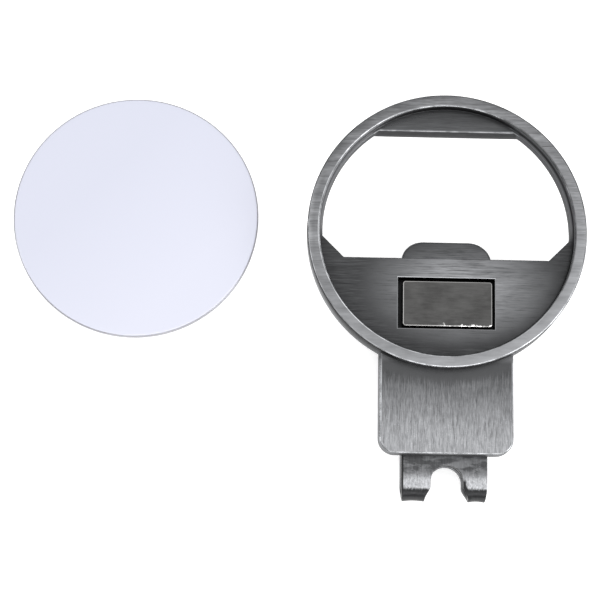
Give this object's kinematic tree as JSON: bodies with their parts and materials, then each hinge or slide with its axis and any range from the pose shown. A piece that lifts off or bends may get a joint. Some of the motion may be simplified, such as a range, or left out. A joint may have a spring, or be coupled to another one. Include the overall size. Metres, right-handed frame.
{
  "type": "golf hat clip with ball marker",
  "caption": "Hat-brim clip: a bottle-opener ring with a magnetic marker recess and a tab on a folded spring strip, with its loose round ball marker.",
  "frame": {"origin": "centre of the whole set's footprint, on the surface it lies on", "axes": "+X from the loose marker towards the ring, +Y from the spring fold towards the ring, +Z out of the front face"},
  "size_m": [0.0786, 0.0559, 0.0081],
  "materials": {
    "antique_casting": "zinc casting, antique nickel plate brushed bright on its raised faces",
    "magnet_plate": "smooth dark nickel plate with bright edges",
    "glue": "clear set adhesive",
    "spring_strip": "antique nickel plated spring steel",
    "marker_steel": "bright plated steel",
    "marker_white": "glossy white enamel"
  },
  "bodies": {
    "spring": {"clip_spring_leaf": "spring_strip"},
    "clip": {"frame": "antique_casting", "magnet": "magnet_plate", "magnet_glue": "glue", "clip_mount_leaf": "spring_strip"},
    "marker": {"marker_disc": "marker_steel", "marker_face": "marker_white"}
  },
  "joints": [
    {"name": "clip_flex", "type": "hinge", "parent": "spring", "child": "clip", "pos_m": [0.02035, -0.02605, 0.0019], "axis": [1, 0, 0], "range_deg": [0, 6], "stiffness_Nm_per_rad": 1, "springref_deg": -1.72},
    {"name": "marker_lift", "type": "slide", "parent": "spring", "child": "marker", "axis": [0, 0, 1], "range_m": [0, 0.025]}
  ]
}
